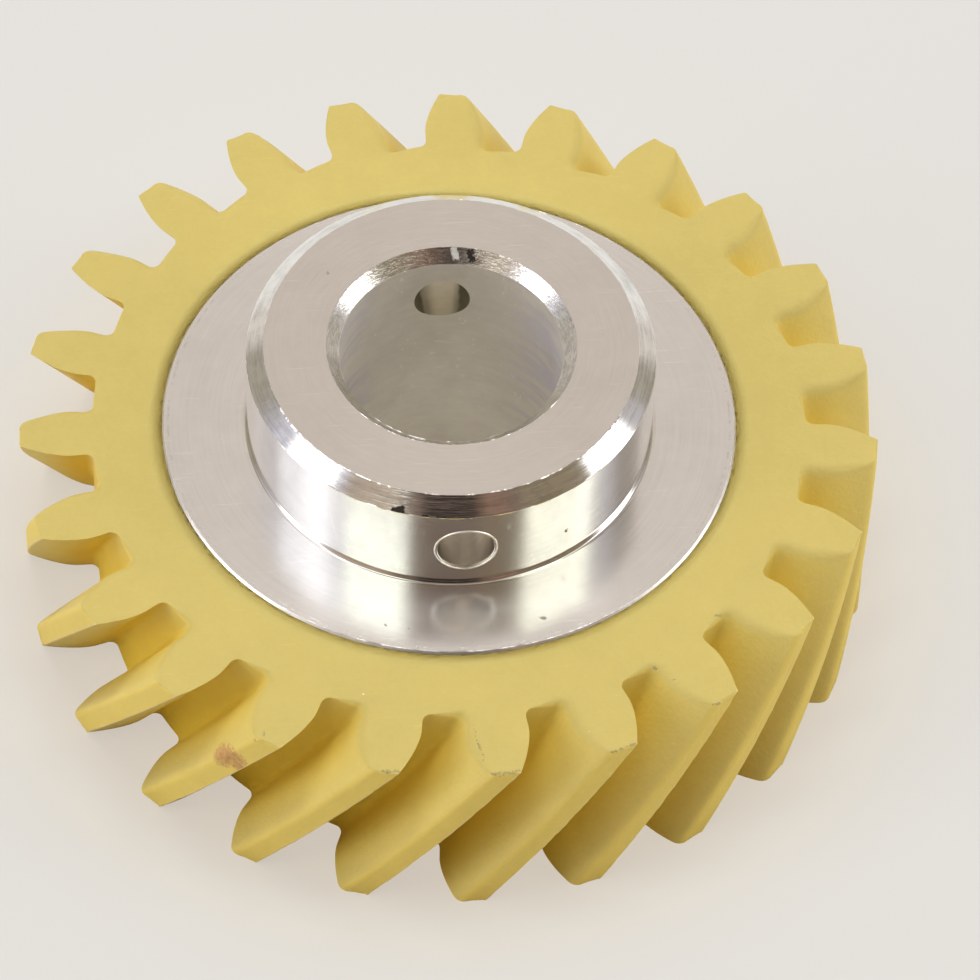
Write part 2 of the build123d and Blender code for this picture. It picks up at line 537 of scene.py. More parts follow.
@dataclass
class TurnedHub:
    """The turned metal hub: seat, flange, boss, bore and cross pin hole."""

    boss_radius: float = 11.55
    nose_radial: float = 1.0
    nose_axial: float = 0.8
    foot_fillet: float = 0.22
    flange_stand: float = 0.12
    mouth: float = 0.7
    sharp: float = 0.015
    broken: float = 0.03
    guard: float = 0.06
    deburr: float = 0.14
    lip: float = 0.05
    segments: int = 720
    drill_sides: int = 160
    drill_clear: float = 1.0
    lip_sides: int = 8
    lip_unevenness: float = 0.3
    sharp_angle: float = 35.0

    def corners(self) -> list[Corner]:
        """The profile's corners, from the bottom of the bore up and round the outside."""
        bore_radius = mount("shaft_bore")["dims"]["r_mm"]
        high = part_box("hub")[1]
        top, seat = high.z / MM, high.x / MM
        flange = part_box("toothed_ring")[1].z / MM + self.flange_stand
        zone = HubZone
        return [
            Corner(bore_radius + self.mouth, 0, self.sharp, 3, zone.BORE),
            Corner(bore_radius, self.mouth, self.sharp, 10, zone.BORE),
            Corner(bore_radius, top - self.mouth, self.sharp, 6, zone.MOUTH_CHAMFER, 0.05),
            Corner(bore_radius + self.mouth, top, self.broken, 5, zone.NOSE_FACE, 0.05),
            Corner(self.boss_radius - self.nose_radial, top, self.broken, 6, zone.NOSE_CHAMFER, 0.012),
            Corner(self.boss_radius, top - self.nose_axial, self.sharp, 8, zone.BOSS_WALL, 0.004),
            Corner(self.boss_radius, flange, self.foot_fillet, 6, zone.FLANGE, arc=zone.BOSS_FOOT),
            Corner(seat - self.flange_stand, flange, self.broken, 1, zone.FLANGE_RIM, 0.012),
            Corner(seat, flange - self.flange_stand, self.sharp, 4, zone.FLANGE),
            Corner(seat, 0, self.sharp, 5, zone.UNDERSIDE),
        ]

    def profile(self) -> tuple[np.ndarray, list[HubZone], np.ndarray]:
        """The rounded profile.

        Returns:
            The (n, 2) points of the closed profile, the zone of the stretch after each one, and how far and
            which way each may stand up as a burr.
        """
        corners = self.corners()
        points, zones, burrs = [], [], []
        for i, corner in enumerate(corners):
            here = np.array([corner.radius, corner.height])
            before, after = corners[i - 1], corners[(i + 1) % len(corners)]
            back = np.array([before.radius, before.height]) - here
            on = np.array([after.radius, after.height]) - here
            back_way, on_way = unit(back), unit(on)
            bend = self.bend_at(corners, i)
            reach = corner.rounding / math.tan(bend / 2)
            outward = -unit(back_way + on_way)
            centre = here - outward * corner.rounding / math.sin(bend / 2)
            start, end = here + back_way * reach, here + on_way * reach
            sweep = math.pi - bend
            for t in np.linspace(0, 1, 13 if corner.rounding > 0.1 else 5):
                swung = (start - centre) * math.sin(sweep * (1 - t)) + (end - centre) * math.sin(sweep * t)
                points.append(centre + swung / math.sin(sweep))
                zones.append(corner.arc or corner.zone)
                burrs.append(outward * corner.burr * math.sin(math.pi * t))
            reach_after = after.rounding / math.tan(self.bend_at(corners, i + 1) / 2)
            stretch = np.linalg.norm(on) - reach - reach_after
            guard = min(self.guard, stretch / 3)
            shares = np.arange(1, corner.steps) / corner.steps * (stretch - 2 * guard)
            for along in (guard, *(guard + shares), stretch - guard):
                points.append(end + on_way * along)
                zones.append(corner.zone)
                burrs.append(np.zeros(2))
        return np.array(points), zones, np.array(burrs)

    @staticmethod
    def bend_at(corners: list[Corner], i: int) -> float:
        """The inside angle at a corner, in radians."""
        here = corners[i % len(corners)]
        before, after = corners[(i - 1) % len(corners)], corners[(i + 1) % len(corners)]
        back = np.array([before.radius - here.radius, before.height - here.height])
        on = np.array([after.radius - here.radius, after.height - here.height])
        return math.acos(float(back @ on) / np.linalg.norm(back) / np.linalg.norm(on))

    def build(self) -> bpy.types.Object:
        """Makes the hub's mesh with its burred edges, and drills its cross pin hole."""
        profile, zones, burrs = self.profile()
        around = unit_circle(self.segments)
        points = []
        for (radius, height), burr in zip(profile, burrs):
            lift = np.zeros(self.segments)
            if burr.any():
                circle = np.column_stack([around * radius, np.full(self.segments, height)])
                fine = smooth_noise(circle, 5.0, 3.0) * 0.6
                lift = np.clip(smooth_noise(circle, 1.6, 11.0) + fine, -0.6, 1.0)
            at_radius = radius + burr[0] * lift
            points.append(np.column_stack([around * at_radius[:, None], height + burr[1] * lift]))
        faces = quads(len(profile), self.segments, closed=True)
        face_zones = np.repeat([zone.value for zone in zones], self.segments)
        piece = mesh_object("metal_hub", np.concatenate(points), faces, face_zones)
        self.drill(piece)
        return piece

    def drill(self, piece: bpy.types.Object) -> None:
        """Cuts the cross pin hole with its deburred rims.

        Args:
            piece: the undrilled hub.
        """
        hole = mount("cross_pin_hole")
        radius, height = hole["dims"]["r_mm"], hole["pos_m"][2] / MM
        sides, clear = self.drill_sides, self.drill_clear
        wide = radius + self.deburr * 2
        flare = wide + clear - self.deburr
        half = [(self.boss_radius - self.deburr, radius), (self.boss_radius + self.deburr, wide),
                (self.boss_radius + clear, flare)]
        stations = [(-y, r) for y, r in reversed(half)] + [(0.0, radius), *half]
        across, upward = unit_circle(sides).T
        points = [np.column_stack([r * across, np.full(sides, y), height + r * upward]) for y, r in stations]
        faces, zones = quads(len(stations), sides), []
        for (y, r), (_, next_r) in zip(stations, stations[1:]):
            zone = HubZone.DEBURRED_RIM
            if r == next_r:
                # The far half takes a zone of its own, painted darker as shade.
                zone = HubZone.PIN_HOLE if y < 0 else HubZone.FAR_HOLE
            zones += [zone.value] * sides
        faces.append(tuple(range(sides)))
        faces.append(tuple(reversed(range((len(stations) - 1) * sides, len(stations) * sides))))
        zones += [HubZone.DEBURRED_RIM.value] * 2
        cutter = mesh_object("drill", np.concatenate(points), faces, np.array(zones))
        cut = piece.modifiers.new("cross_hole", "BOOLEAN")
        cut.operation = "DIFFERENCE"
        cut.solver = "EXACT"
        cut.object = cutter
        apply_modifiers(piece)
        bpy.data.objects.remove(cutter)
        self.raise_lips(piece, wide - self.deburr, height)
        piece.data.set_sharp_from_angle(angle=math.radians(self.sharp_angle))
        keep_flats_flat(piece)

    def raise_lips(self, piece: bpy.types.Object, radius: float, height: float) -> None:
        """Adds the thin uneven lip that the drill pushed up round each mouth of the cross pin hole.

        Args:
            piece: the drilled hub.
            radius: the lip's radius about the hole's axis.
            height: the axis's height.
        """
        sides = self.drill_sides
        across, upward = unit_circle(sides).T
        away = np.column_stack([across, np.zeros(sides), upward])
        both = bmesh.new()
        both.from_mesh(piece.data)
        for side in (-1, 1):
            x = radius * across
            y = side * np.sqrt(self.boss_radius ** 2 - x ** 2)
            path = np.column_stack([x, y, height + radius * upward])
            out = np.column_stack([x, y, np.zeros(sides)]) / self.boss_radius
            thick = self.lip * (1 + self.lip_unevenness * smooth_noise(path, 2.5, 6.0))
            rings = [path + thick[:, None] * (away * c + out * s) for c, s in unit_circle(self.lip_sides)]
            faces = quads(len(rings), sides, closed=True, flipped=side > 0)
            zones = np.full(len(faces), HubZone.DEBURRED_RIM.value)
            lip = mesh_object("lip", np.concatenate(rings), faces, zones)
            both.from_mesh(lip.data)
            bpy.data.objects.remove(lip)
        both.to_mesh(piece.data)
        both.free()


class Graph:
    """One node tree, and short ways to add to it."""

    def __init__(self, tree: bpy.types.NodeTree) -> None:
        """Empties the tree and keeps it."""
        self.tree = tree
        tree.nodes.clear()

    @classmethod
    def material(cls, name: str) -> tuple[bpy.types.Material, "Graph"]:
        """A new material, and the graph of its own tree."""
        made = bpy.data.materials.new(name)
        made.use_nodes = True
        return made, cls(made.node_tree)

    def node(self, kind: str, **settings: object) -> bpy.types.Node:
        """Adds a node with some of its settings.

        Args:
            kind: the node's Blender type.
            settings: attributes to set on it.

        Returns:
            The node.
        """
        made = self.tree.nodes.new(kind)
        for name, value in settings.items():
            setattr(made, name, value)
        return made

    def feed(self, socket: Socket, value: object) -> None:
        """Links another socket to this one, or sets its value."""
        if isinstance(value, Socket):
            self.tree.links.new(value, socket)
        else:
            socket.default_value = value

    def math(self, operation: str, a: object, b: object = 0.0, c: object = 0.0) -> Socket:
        """The result of a Math node."""
        made = self.node("ShaderNodeMath", operation=operation)
        for socket, value in zip(made.inputs, (a, b, c)):
            self.feed(socket, value)
        return made.outputs[0]

    def times(self, a: object, b: object) -> Socket:
        """Two numbers multiplied."""
        return self.math("MULTIPLY", a, b)

    def sway(self, pattern: object, amount: object, about: object) -> Socket:
        """A value moved up and down by a pattern that goes from 0 to 1."""
        return self.math("MULTIPLY_ADD", self.math("SUBTRACT", pattern, 0.5), amount, about)

    def radius(self, x: object, y: object) -> Socket:
        """The distance from the bore's axis."""
        return self.math("SQRT", self.math("MULTIPLY_ADD", x, x, self.times(y, y)))

    def vector(self, operation: str, a: object, b: object = (0.0, 0.0, 0.0)) -> Socket:
        """The result of a Vector Math node. For SCALE, b is a number."""
        made = self.node("ShaderNodeVectorMath", operation=operation)
        self.feed(made.inputs[0], a)
        self.feed(made.inputs["Scale"] if operation == "SCALE" else made.inputs[1], b)
        return made.outputs["Value" if operation in ("LENGTH", "DISTANCE", "DOT_PRODUCT") else "Vector"]

    def ramp(self, value: object, low: float, high: float, start: float = 0.0, end: float = 1.0) -> Socket:
        """A value eased from start to end as it goes from low to high."""
        made = self.node("ShaderNodeMapRange", interpolation_type="SMOOTHSTEP")
        for name, number in (("Value", value), ("From Min", low), ("From Max", high), ("To Min", start),
                             ("To Max", end)):
            self.feed(made.inputs[name], number)
        return made.outputs["Result"]

    def band(self, value: object, low: float, high: float, soft: float) -> Socket:
        """1 where a value lies from low to high, easing to 0 over a soft edge."""
        rise = self.ramp(value, low - soft, low + soft)
        fall = self.ramp(value, high - soft, high + soft, 1.0, 0.0)
        return self.times(rise, fall)

    def mix(self, share: object, a: object, b: object) -> Socket:
        """Colour a turned into colour b by a share."""
        made = self.node("ShaderNodeMix", data_type="RGBA")
        self.feed(made.inputs[0], share)
        self.feed(made.inputs[6], a)
        self.feed(made.inputs[7], b)
        return made.outputs[2]

    def noise(self, place: object, scale: float, detail: float = 2.0, rough: float = 0.5) -> Socket:
        """Smooth noise from 0 to 1 at a place, with its waves per millimetre."""
        made = self.node("ShaderNodeTexNoise")
        for name, value in (("Vector", place), ("Scale", scale), ("Detail", detail), ("Roughness", rough)):
            self.feed(made.inputs[name], value)
        return made.outputs["Fac"]

    def place(self) -> Socket:
        """The place on the piece, in millimetres."""
        coordinates = self.node("ShaderNodeTexCoord").outputs["Object"]
        return self.vector("SCALE", coordinates, 1 / MM)

    def split(self, vector: object) -> tuple[Socket, ...]:
        """A vector's three numbers."""
        made = self.node("ShaderNodeSeparateXYZ")
        self.feed(made.inputs[0], vector)
        return tuple(made.outputs)

    def join(self, x: object, y: object, z: object) -> Socket:
        """A vector made of three numbers."""
        made = self.node("ShaderNodeCombineXYZ")
        for socket, value in zip(made.inputs, (x, y, z)):
            self.feed(socket, value)
        return made.outputs[0]

    def use(self, effect: bpy.types.NodeTree, **inputs: object) -> Socket:
        """Places a shared effect and returns its one output."""
        made = self.node("ShaderNodeGroup", node_tree=effect)
        for name, value in inputs.items():
            self.feed(made.inputs[name.replace("_", " ").capitalize()], value)
        return made.outputs[0]

    def bump(self, height: object) -> Socket:
        """The normal of a surface that is raised by a height in millimetres."""
        made = self.node("ShaderNodeBump")
        made.inputs["Distance"].default_value = MM
        self.feed(made.inputs["Height"], height)
        return made.outputs[0]

    def principled(self, inputs: dict[str, object]) -> Socket:
        """A Principled BSDF with some of its inputs set."""
        made = self.node("ShaderNodeBsdfPrincipled")
        for name, value in inputs.items():
            self.feed(made.inputs[name], value)
        return made.outputs[0]

    def blend(self, share: object, a: Socket, b: Socket) -> Socket:
        """Shader a turned into shader b by a share."""
        made = self.node("ShaderNodeMixShader")
        for socket, value in zip(made.inputs, (share, a, b)):
            self.feed(socket, value)
        return made.outputs[0]

    def show(self, shader: Socket, kind: str = "Material") -> None:
        """Makes a shader the tree's output."""
        self.feed(self.node(f"ShaderNodeOutput{kind}").inputs["Surface"], shader)


class Effects:
    """Shader node groups that several finishes share, each built once."""

    scratch_layers: tuple[tuple[float, float], ...] = ((0.0, 0.0), (1.9, 31.0))
    scratch_stretch: tuple[float, float, float] = (0.35, 9.0, 2.0)
    scratch_level: tuple[float, float] = (0.68, 0.76)
    streak_slant: float = 0.2
    streak_stretch: float = 0.12
    streak_level: tuple[float, float] = (0.42, 0.58)
    streak_from: tuple[float, float] = (3.4, 6.0)
    mark_edge: float = 0.35
    mark_stray: float = 0.25
    mark_level: tuple[float, float] = (0.42, 0.62)

    def __init__(self) -> None:
        """Builds every group."""
        self.turning_lines = self.make_turning_lines()
        self.scratches = self.make_scratches()
        self.side_streaks = self.make_side_streaks()
        self.blotches = self.make_blotches()
        self.mark = self.make_mark()

    @staticmethod
    def start(name: str, inputs: dict[str, str], output: str) -> tuple[Graph, dict, Socket]:
        """Starts a group.

        Args:
            name: the group's name.
            inputs: each input's name and kind, such as Float or Vector.
            output: the name of its one output, a number.

        Returns:
            The group's graph, its inputs by name, and the socket that takes the result.
        """
        tree = bpy.data.node_groups.new(name, "ShaderNodeTree")
        graph = Graph(tree)
        for title, kind in inputs.items():
            tree.interface.new_socket(title, in_out="INPUT", socket_type=f"NodeSocket{kind}")
        tree.interface.new_socket(output, in_out="OUTPUT", socket_type="NodeSocketFloat")
        given = graph.node("NodeGroupInput")
        result = graph.node("NodeGroupOutput")
        return graph, {title: given.outputs[title] for title in inputs}, result.inputs[output]

    def make_turning_lines(self) -> bpy.types.NodeTree:
        """Fine lines that a lathe tool leaves round the axis.

        Waver breaks them up along their length, and lean is how much a millimetre of height counts.
        """
        inputs = {"Place": "Vector", "Fineness": "Float", "Waver": "Float", "Lean": "Float"}
        graph, given, result = self.start("turning_lines", inputs, "Lines")
        x, y, z = graph.split(given["Place"])
        radius = graph.radius(x, y)
        round_x = graph.times(graph.math("DIVIDE", x, radius), given["Waver"])
        round_y = graph.times(graph.math("DIVIDE", y, radius), given["Waver"])
        along = graph.math("MULTIPLY_ADD", z, given["Lean"], radius)
        place = graph.join(round_x, round_y, graph.times(along, given["Fineness"]))
        graph.feed(result, graph.noise(place, 1.0, 3.0, 0.65))
        return graph.tree

    def make_scratches(self) -> bpy.types.NodeTree:
        """Short thin scratches in two directions, 1 in a scratch."""
        graph, given, result = self.start("scratches", {"Place": "Vector", "Turn": "Float"}, "Scratches")
        found = 0.0
        for turn, shift in self.scratch_layers:
            mapping = graph.node("ShaderNodeMapping")
            graph.feed(mapping.inputs["Vector"], given["Place"])
            mapping.inputs["Location"].default_value = (shift, shift / 2, shift)
            mapping.inputs["Scale"].default_value = self.scratch_stretch
            heading = graph.math("ADD", given["Turn"], turn)
            graph.feed(mapping.inputs["Rotation"], graph.join(0.0, 0.0, heading))
            lines = graph.noise(mapping.outputs[0], 1.0, 2.0, 0.4)
            found = graph.math("MAXIMUM", graph.ramp(lines, *self.scratch_level), found)
        graph.feed(result, found)
        return graph.tree

    def make_side_streaks(self) -> bpy.types.NodeTree:
        """Soft slanted streaks, only on the left and right of a bore along Z."""
        graph, given, result = self.start("side_streaks", {"Place": "Vector"}, "Streaks")
        x, y, z = graph.split(given["Place"])
        slanted = graph.math("MULTIPLY_ADD", y, self.streak_slant, z)
        place = graph.join(graph.times(x, self.streak_stretch), slanted, graph.times(y, self.streak_stretch))
        lines = graph.ramp(graph.noise(place, 1.0, 3.0, 0.6), *self.streak_level)
        beside = graph.ramp(graph.math("ABSOLUTE", x), *self.streak_from)
        graph.feed(result, graph.times(lines, beside))
        return graph.tree

    def make_blotches(self) -> bpy.types.NodeTree:
        """Soft uneven patches, from 0 to 1, with finer ones inside them."""
        inputs = {"Place": "Vector", "Scale": "Float", "Contrast": "Float"}
        graph, given, result = self.start("blotches", inputs, "Blotches")
        scaled = graph.vector("SCALE", given["Place"], given["Scale"])
        lifted = graph.sway(graph.noise(scaled, 1.0, 4.0, 0.6), given["Contrast"], 0.5)
        lifted.node.use_clamp = True
        graph.feed(result, lifted)
        return graph.tree

    def make_mark(self) -> bpy.types.NodeTree:
        """One small mark: 1 within a width of the line from start to end, and broken up by a rough value."""
        inputs = {"Place": "Vector", "Rough": "Float", "Start": "Vector", "End": "Vector", "Width": "Float",
                  "Broken": "Float"}
        graph, given, result = self.start("small_mark", inputs, "Mask")
        run = graph.vector("SUBTRACT", given["End"], given["Start"])
        here = graph.vector("SUBTRACT", given["Place"], given["Start"])
        length = graph.math("MAXIMUM", graph.vector("DOT_PRODUCT", run, run), 1e-4)
        share = graph.math("DIVIDE", graph.vector("DOT_PRODUCT", here, run), length)
        share.node.use_clamp = True
        nearest = graph.vector("SCALE", run, share)
        away = graph.vector("DISTANCE", here, nearest)
        near = graph.math("SUBTRACT", 1.0, graph.math("DIVIDE", away, given["Width"]))
        bitten = graph.math("SUBTRACT", near, graph.times(given["Rough"], given["Broken"]))
        graph.feed(result, graph.ramp(bitten, 0.0, self.mark_edge))
        return graph.tree

    def marks(self, graph: Graph, place: object, marks: tuple[Mark, ...], tint: Tint) -> Socket | float:
        """All of a finish's marks of one tint.

        Args:
            graph: the material's graph.
            place: the place on the piece, in millimetres.
            marks: the finish's marks.
            tint: which of them to draw.

        Returns:
            A mask, or 0 where there are none.
        """
        chosen = [mark for mark in marks if mark.tint is tint]
        if not chosen:
            return 0.0
        stray = graph.noise(place, 3.5, 3.0).node.outputs["Color"]
        moved = graph.vector("SCALE", graph.vector("SUBTRACT", stray, (0.5, 0.5, 0.5)), self.mark_stray)
        strayed = graph.vector("ADD", place, moved)
        rough = graph.ramp(graph.noise(place, 7.0, 2.0), *self.mark_level)
        found = 0.0
        for mark in chosen:
            mask = graph.use(self.mark, place=strayed, rough=rough, start=Mark.place(mark.start),
                             end=Mark.place(mark.end), width=mark.width, broken=mark.broken)
            found = graph.math("MAXIMUM", mask, found)
        return found


@dataclass(frozen=True)
class Belt:
    """A belt of the studio's surroundings between two elevations, with stretches of colour round it.

    Azimuth is measured from the camera's side, towards its right, and each stretch starts at one.
    """

    low: float
    high: float
    stretches: tuple[tuple[float, Colour], ...]
    soft: float = 2.5
    fade: float = 1.2


PALE = rgb(0.68, 0.61, 0.545)
CALM = rgb(0.65, 0.59, 0.535)
OVERHEAD = rgb(9.2, 9.2, 9.2)
WHITE = rgb(3.4, 3.4, 3.4)
CREAM = rgb(1.56, 1.58, 1.34)
LILAC = rgb(0.60, 0.58, 0.64)
GREY = rgb(0.46, 0.43, 0.43)
SAND = rgb(0.46, 0.37, 0.29)
OLIVE = rgb(0.24, 0.19, 0.125)
DUSK = rgb(0.36, 0.325, 0.265)
BROWN = rgb(0.20, 0.145, 0.11)
RUST = rgb(0.24, 0.145, 0.105)
SHADE = rgb(0.03, 0.022, 0.021)
DIM = rgb(0.32, 0.29, 0.25)
PEARL = rgb(1.22, 1.22, 1.26)
BLUSH = rgb(0.74, 0.69, 0.69)
SILVER = rgb(0.80, 0.80, 0.84)
LEMON = rgb(1.56, 1.64, 1.48)
EARTH = rgb(0.18, 0.14, 0.085)
UMBER = rgb(0.29, 0.24, 0.19)
SLATE = rgb(0.38, 0.36, 0.38)
CLAY = rgb(0.29, 0.25, 0.215)
AROUND = (
    (-180, CALM), (-127, DUSK), (-104, GREY), (-96, LILAC), (-83, WHITE), (-62, LILAC), (-55, SAND),
    (-25, BROWN), (-13, SHADE), (19, RUST), (34, BROWN), (42, OLIVE), (79, WHITE), (99, GREY),
    (112, DUSK), (127, CALM),
)


@dataclass
class Studio:
    """Floor, surroundings and camera."""

    camera_azimuth: float = -6.5
    camera_elevation: float = 53.32
    camera_roll: float = -2.36
    camera_distance: float = 311.23
    focal_pixels: float = 5448.19
    sensor: float = 36.0
    left_of_middle: float = 2.329
    above_middle: float = 4.035
    floor_side: float = 6000.0
    floor_drop: float = 0.01
    underside_reach: float = 0.08
    floor_colour: Colour = rgb(0.70, 0.705, 0.695)
    # Painted warm light: the paper's warmer colour near the wheel, for light that the nylon passes.
    floor_painted_warm_light: Colour = rgb(0.62, 0.59, 0.52)
    near_inside: float = 3.0
    near_outside: float = 9.0
    floor_glow: float = 0.55
    # Painted light: a stronger, warmer glow near the wheel, which lightens the shadow there.
    glow_share_painted_near: float = 0.66
    backdrop: Colour = rgb(0.775, 0.75, 0.715)
    glow_painted_warm_light: Colour = rgb(0.86, 0.79, 0.70)
    brightest: float = 9.2
    overhead_in_metal: Colour = rgb(0.80, 0.745, 0.70)
    calm_above: float = 72.5
    belts: tuple[Belt, ...] = (
        Belt(-90, 45, AROUND, 3.0),
        Belt(45, 50.5, tuple((turn, PEARL if colour is WHITE else colour) for turn, colour in AROUND), 3.0),
        Belt(50.5, 71, ((-180, PALE), (-145, BLUSH), (-118, LILAC), (-112, PEARL), (-71, SILVER),
                        (-60, LEMON), (-21, BROWN), (20, EARTH), (47, CREAM), (92, UMBER), (101, SLATE),
                        (112, CLAY), (140, PALE))),
        Belt(71, 85, ((-180, OVERHEAD), (-92, DIM), (92, OVERHEAD)), 8.0),
        Belt(85, 91, ((-180, DIM),)),
    )

    def build(self) -> None:
        """Sets the floor, the surroundings and the camera."""
        self.make_floor()
        self.make_surroundings()
        self.make_camera()

    def make_floor(self) -> None:
        """Lays the pale floor, with painted warm light near the wheel for the light that the nylon passes.

        It is clear from below and to the underside's own short rays, so the underside can be looked at.
        """
        half = self.floor_side / 2
        points = np.array([(x, y, -self.floor_drop)
                           for x, y in ((-half, -half), (half, -half), (half, half), (-half, half))])
        floor = mesh_object("studio_floor", points, [(0, 1, 2, 3)])
        material, graph = Graph.material("floor_paper")
        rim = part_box("toothed_ring")[1].x / MM
        away = graph.vector("LENGTH", graph.place())
        # Painted warm light: near the wheel the paper is warmer and its glow stronger and warmer, lightening
        # the shadow.
        near = graph.ramp(away, rim - self.near_inside, rim + self.near_outside, 1.0, 0.0)
        paper = graph.principled({"Base Color": graph.mix(near, self.floor_colour, self.floor_painted_warm_light),
                                  "Roughness": 0.9, "Specular IOR Level": 0.2})
        glow = graph.node("ShaderNodeEmission")
        graph.feed(glow.inputs["Color"], graph.mix(near, self.backdrop, self.glow_painted_warm_light))
        path = graph.node("ShaderNodeLightPath")
        lit = graph.math("MULTIPLY_ADD", near, self.glow_share_painted_near - self.floor_glow, self.floor_glow)
        upper = graph.blend(graph.times(path.outputs["Is Camera Ray"], lit), paper, glow.outputs[0])
        behind = graph.node("ShaderNodeNewGeometry").outputs["Backfacing"]
        short = graph.math("LESS_THAN", path.outputs["Ray Length"], self.underside_reach * MM)
        clear = graph.node("ShaderNodeBsdfTransparent").outputs[0]
        graph.show(graph.blend(graph.math("MAXIMUM", behind, short), upper, clear))
        floor.data.materials.append(material)

    def make_surroundings(self) -> None:
        """Paints the surroundings that light the wheel and that its metal mirrors."""
        world = bpy.data.worlds.new("studio")
        bpy.context.scene.world = world
        world.use_nodes = True
        graph = Graph(world.node_tree)
        x, y, z = graph.split(graph.node("ShaderNodeTexCoord").outputs["Generated"])
        azimuth = graph.math("DEGREES", graph.math("ARCTAN2", x, graph.times(y, -1.0)))
        shifted = graph.math("SUBTRACT", azimuth, self.camera_azimuth)
        heading = graph.math("WRAP", shifted, 180.0, -180.0)
        elevation = graph.math("DEGREES", graph.math("ARCSINE", z))
        turn_share = graph.math("DIVIDE", graph.math("ADD", heading, 180.0), 360.0)
        colour = None
        for belt in self.belts:
            ring = self.belt_ramp(graph, belt, turn_share)
            above = graph.ramp(elevation, belt.low - belt.fade, belt.low + belt.fade)
            colour = ring if colour is None else graph.mix(above, colour, ring)
        bright = graph.vector("SCALE", colour, self.brightest)
        path = graph.node("ShaderNodeLightPath")
        calmer = graph.vector("MINIMUM", bright, self.overhead_in_metal[:3])
        overhead = graph.ramp(elevation, self.calm_above - 1, self.calm_above + 1)
        mirrored = graph.times(path.outputs["Is Glossy Ray"], overhead)
        bright = graph.mix(mirrored, bright, calmer)
        seen = graph.mix(path.outputs["Is Camera Ray"], bright, self.backdrop)
        background = graph.node("ShaderNodeBackground")
        graph.feed(background.inputs["Color"], seen)
        graph.show(background.outputs[0], "World")

    def belt_ramp(self, graph: Graph, belt: Belt, turn_share: Socket) -> Socket:
        """One belt's colours round the compass.

        Args:
            graph: the world's graph.
            belt: the belt.
            turn_share: azimuth as a share of the whole turn, from the back.

        Returns:
            The belt's colour, as a share of the brightest.
        """
        made = graph.node("ShaderNodeValToRGB")
        graph.feed(made.inputs[0], turn_share)
        ramp = made.color_ramp
        ramp.elements.remove(ramp.elements[0])
        share = [(azimuth + 180) / 360 for azimuth, _ in belt.stretches]
        soft = belt.soft / 360
        colours = [tuple(channel / self.brightest for channel in colour[:3]) + (1.0,)
                   for _, colour in belt.stretches]
        ramp.elements[0].position = 0.0
        ramp.elements[0].color = colours[0]
        for before, after, place in zip(colours, colours[1:], share[1:]):
            ramp.elements.new(place - soft).color = before
            ramp.elements.new(place + soft).color = after
        return made.outputs["Color"]

    def make_camera(self) -> None:
        """Stands the camera where the photograph was taken from."""
        elevation, roll = math.radians(self.camera_elevation), math.radians(self.camera_roll)
        look = Vector((0, math.cos(elevation), -math.sin(elevation)))
        level = Vector((1, 0, 0))
        upright = Vector((0, math.sin(elevation), math.cos(elevation)))
        right = level * math.cos(roll) - upright * math.sin(roll)
        up = level * math.sin(roll) + upright * math.cos(roll)
        place = right * self.left_of_middle - up * self.above_middle - look * self.camera_distance
        swing = Matrix.Rotation(math.radians(self.camera_azimuth), 3, "Z")
        ring_top = Vector((0, 0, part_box("toothed_ring")[1].z))
        data = bpy.data.cameras.new("camera")
        data.sensor_width = self.sensor
        data.lens = self.focal_pixels / PICTURE_SIDE * self.sensor
        data.clip_start = 0.01
        data.clip_end = 100
        camera = bpy.data.objects.new("camera", data)
        axes = Matrix((swing @ right, swing @ up, swing @ -look)).transposed()
        camera.matrix_world = Matrix.Translation(swing @ place * MM + ring_top) @ axes.to_4x4()
        bpy.context.scene.collection.objects.link(camera)
        bpy.context.scene.camera = camera


@dataclass(frozen=True)
class RingStain:
    """A ring of dirt round the axis, from one radius and height to another, broken up along its length."""

    low: tuple[float, float]
    high: tuple[float, float]
    strength: float
    broken: float
    soft: float = 0.03
    ragged: float = 0.06


